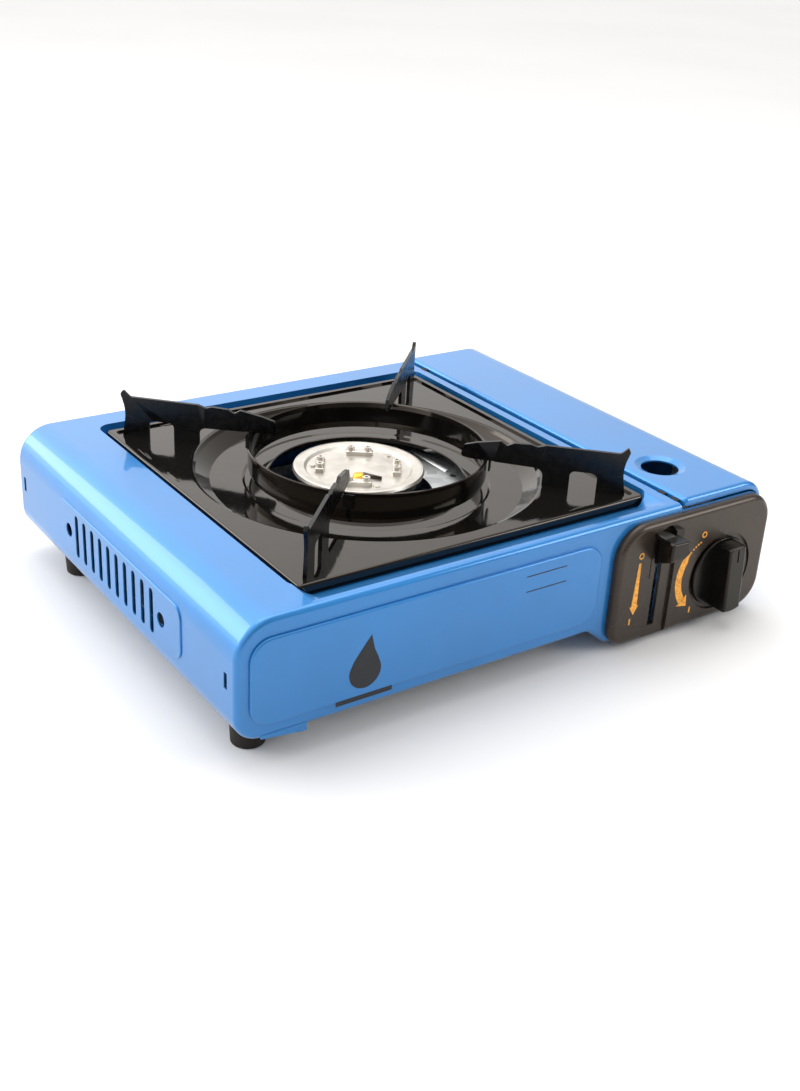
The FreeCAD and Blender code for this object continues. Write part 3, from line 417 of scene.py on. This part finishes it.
class STOVE_OT_print(bpy.types.Operator):
    """Print the direction arrows and end marks on the control panel"""
    bl_idname = "stove.print_panel"
    bl_label = "Panel print"

    def execute(self, context):
        face_y = LOW["control_panel"].y
        for name, draw in (("lever_arrow", self.lever_arrow), ("knob_arrow", self.knob_arrow),
                           ("end_marks", self.end_marks)):
            shape = bmesh.new()
            draw(shape, face_y)
            finished_piece(context, shape, name, bpy.data.materials["amber_print"], "case")
        return {"FINISHED"}

    def lever_arrow(self, shape, face_y):
        """Straight arrow beside the lever: thin at the top, growing to its head."""
        x, tail, neck = LEVER_ARROW_X, LEVER_ARROW_TAIL, LEVER_ARROW_NECK
        printed_shape(shape, [(x - 0.5, tail), (x + 1.1, tail), (x + 1.9, neck), (x + 3.1, neck),
                              (x - 0.1, LEVER_ARROW_POINT), (x - 3.3, neck), (x - 2.1, neck)], face_y)

    def knob_arrow(self, shape, face_y):
        """Curved arrow beside the knob: dashes, a band that grows, and a head."""
        centre, radius = KNOB_ARROW_CENTRE, KNOB_ARROW_RADIUS
        outer = arc_points(centre, radius + 2.4, 218, 150, 12) + arc_points(centre, radius + 0.6, 140, 134, 3)
        inner = arc_points(centre, radius - 0.6, 134, 140, 3) + arc_points(centre, radius - 2.2, 150, 218, 12)
        printed_shape(shape, outer + inner, face_y)
        printed_shape(shape, [polar(centre, radius + KNOB_ARROW_HEAD, 217), polar(centre, radius, 232),
                              polar(centre, radius - KNOB_ARROW_HEAD, 216)], face_y)
        for start in DASH_STARTS:
            end = start - DASH_LENGTH
            printed_shape(shape, arc_points(centre, radius + 0.5, start, end, 3)
                          + arc_points(centre, radius - 0.5, end, start, 3), face_y)

    def end_marks(self, shape, face_y):
        """A ring for closed and a bar for open, at the ends of both arrows."""
        for spot in CLOSED_MARKS:
            for start in (0, 180):
                end = start + 180
                printed_shape(shape, arc_points(spot, MARK_HALF_HEIGHT, start, end, 13)
                              + arc_points(spot, RING_HOLE, end, start, 13), face_y)
        for x, z in OPEN_MARKS:
            left, right = x - BAR_HALF_WIDTH, x + BAR_HALF_WIDTH
            foot, head = z - MARK_HALF_HEIGHT, z + MARK_HALF_HEIGHT
            printed_shape(shape, [(left, foot), (right, foot), (right, head), (left, head)], face_y)


class STOVE_OT_front_print(bpy.types.Operator):
    """Print a plain burner sign and two rules on the pressed front panel"""
    bl_idname = "stove.print_front"
    bl_label = "Front print"

    def execute(self, context):
        face_y = LOW["front_panel"].y
        sign = bmesh.new()
        x, z = BURNER_SIGN
        # A drop with its tip leaning right, over a bar
        round_part = arc_points((x, z - 4), DROP_RADIUS, 165, 375, 25)
        tip = [(x + 7.2, z + 2.6), (x + 5.0, z + 7.2), (x + 3.0, z + 15.5), (x - 2.6, z + 8.4),
               (x - 6.6, z + 3.0)]
        printed_shape(sign, round_part + tip, face_y)
        printed_shape(sign, [(x - 16, z - 19), (x + 16, z - 19), (x + 16, z - 16.4),
                             (x - 16, z - 16.4)], face_y)
        ink = bpy.data.materials["dark_print"]
        finished_piece(context, sign, "burner_sign", ink, "case")
        rules = bmesh.new()
        for start, end, height in PRINTED_RULES:
            under, over = height - RULE_HALF_WIDTH, height + RULE_HALF_WIDTH
            printed_shape(rules, [(start, under), (end, under), (end, over), (start, over)], face_y)
        finished_piece(context, rules, "front_rules", ink, "case")
        return {"FINISHED"}


class STOVE_OT_pan_beads(bpy.types.Operator):
    """Press the short stiffening beads along the flats of the pan"""
    bl_idname = "stove.pan_beads"
    bl_label = "Pan beads"

    def execute(self, context):
        low, high = LOW["drip_pan"], HIGH["drip_pan"]
        middle = (low + high) / 2
        half = (high.x - low.x) / 2 - BEAD_INSET * MM
        centre = Vector((middle.x, middle.y, high.z - FLAT_DROP * MM))
        beads = bmesh.new()
        for quarter in range(4):
            turn = Matrix.Rotation(math.radians(90 * quarter), 4, "Z")
            mirrored = -1 if quarter in (1, 3) else 1
            for start, end in BEAD_SPANS:
                along = (start + end) / 2 * MM * mirrored
                place = Matrix.Translation(centre) @ turn @ Matrix.Translation((along, -half, 0))
                half_length = (end - start) * MM / 2
                bead = bmesh.ops.create_uvsphere(beads, u_segments=16, v_segments=10, radius=1)
                form = Matrix.Diagonal((half_length, BEAD_HALF_WIDTH * MM, BEAD_HEIGHT * MM, 1))
                bmesh.ops.transform(beads, matrix=place @ form, verts=bead["verts"])
        piece = finished_piece(context, beads, "pan_beads", bpy.data.materials["vitreous_enamel"], "pan")
        for face in piece.data.polygons:
            face.use_smooth = True
        return {"FINISHED"}


class STOVE_OT_stage(bpy.types.Operator):
    """Set up the floor, the lights and the camera"""
    bl_idname = "stove.build_stage"
    bl_label = "Stage"

    def execute(self, context):
        settings = context.scene.stove_stage
        self.floor(context)
        self.surround(context, settings)
        for name, place, aim, size, power in SOFTBOXES:
            self.softbox(context, name, Vector(place), Vector(aim), size, power)
        self.camera(context, settings)
        context.scene.view_settings.view_transform = "Standard"
        return {"FINISHED"}

    def floor(self, context):
        mesh = bpy.data.meshes.new("floor")
        shape = bmesh.new()
        bmesh.ops.create_grid(shape, x_segments=1, y_segments=1, size=FLOOR_SIZE)
        shape.to_mesh(mesh)
        shape.free()
        floor = bpy.data.objects.new("floor", mesh)
        context.scene.collection.objects.link(floor)
        material, tree, place, shader = new_surface("matt_white_paper", Roughness=0.9)
        cloud = add_node(tree, "ShaderNodeTexNoise", inputs={"Vector": (place, "Object"), "Scale": 2.0})
        tint = blended(tree, linear("#dddddd"), linear("#dfdfdf"), (cloud, "Fac"), 0.4, 0.6)
        join(tree, shader, Base_Color=tint)
        mesh.materials.append(material)

    def surround(self, context, settings):
        world = bpy.data.worlds.new("white_studio")
        world.use_nodes = True
        tree = world.node_tree
        background = tree.nodes["Background"]
        background.inputs["Color"].default_value = (1, 0.985, 0.97, 1)
        place = add_node(tree, "ShaderNodeTexCoord")
        side = add_node(tree, "ShaderNodeVectorMath", {"operation": "DOT_PRODUCT"},
                        {0: (place, "Generated"), 1: BRIGHT_SIDE})
        bright = settings.surround
        level, output = spread(tree, (side, "Value"), -0.35, 1.0, bright * DIM_SHARE, bright)
        tree.links.new(level.outputs[output], background.inputs["Strength"])
        context.scene.world = world

    def softbox(self, context, name, place, aim, size, power):
        light = bpy.data.lights.new(name, "AREA")
        light.shape = "RECTANGLE"
        light.size, light.size_y = size
        light.energy = power
        box = bpy.data.objects.new(name, light)
        box.location = place
        box.rotation_mode = "QUATERNION"
        box.rotation_quaternion = (aim - place).to_track_quat("-Z", "Y")
        context.scene.collection.objects.link(box)

    def camera(self, context, settings):
        lens = bpy.data.cameras.new("camera")
        lens.lens = settings.lens
        lens.sensor_width = 36
        lens.clip_start = 0.01
        camera = bpy.data.objects.new("camera", lens)
        level = math.cos(settings.elevation)
        sight = Vector((math.sin(settings.azimuth) * level, math.cos(settings.azimuth) * level,
                        -math.sin(settings.elevation)))
        camera.location = settings.place
        camera.rotation_mode = "QUATERNION"
        camera.rotation_quaternion = sight.to_track_quat("-Z", "Y") @ Quaternion((0, 0, 1), settings.roll)
        context.scene.collection.objects.link(camera)
        context.scene.camera = camera


class STOVE_PT_panel(bpy.types.Panel):
    """Lists the stove's steps and settings in the sidebar"""
    bl_label = "Gas stove"
    bl_idname = "STOVE_PT_panel"
    bl_space_type = "VIEW_3D"
    bl_region_type = "UI"
    bl_category = "Stove"

    def draw(self, context):
        for settings in (context.scene.stove_finish, context.scene.stove_stage):
            for name in settings.__annotations__:
                self.layout.prop(settings, name)
        for step in STEPS:
            self.layout.operator(step.bl_idname)


STEPS = (STOVE_OT_finish, STOVE_OT_print, STOVE_OT_front_print, STOVE_OT_pan_beads, STOVE_OT_stage)
SETTINGS = (StoveFinish, StoveStage)


def register():
    for each in SETTINGS + STEPS + (STOVE_PT_panel,):
        bpy.utils.register_class(each)
    bpy.types.Scene.stove_finish = PointerProperty(type=StoveFinish)
    bpy.types.Scene.stove_stage = PointerProperty(type=StoveStage)


def unregister():
    del bpy.types.Scene.stove_stage
    del bpy.types.Scene.stove_finish
    for each in reversed(SETTINGS + STEPS + (STOVE_PT_panel,)):
        bpy.utils.unregister_class(each)


def main():
    register()
    for step in STEPS:
        group, name = step.bl_idname.split(".")
        getattr(getattr(bpy.ops, group), name)()


if __name__ == "__main__":
    main()
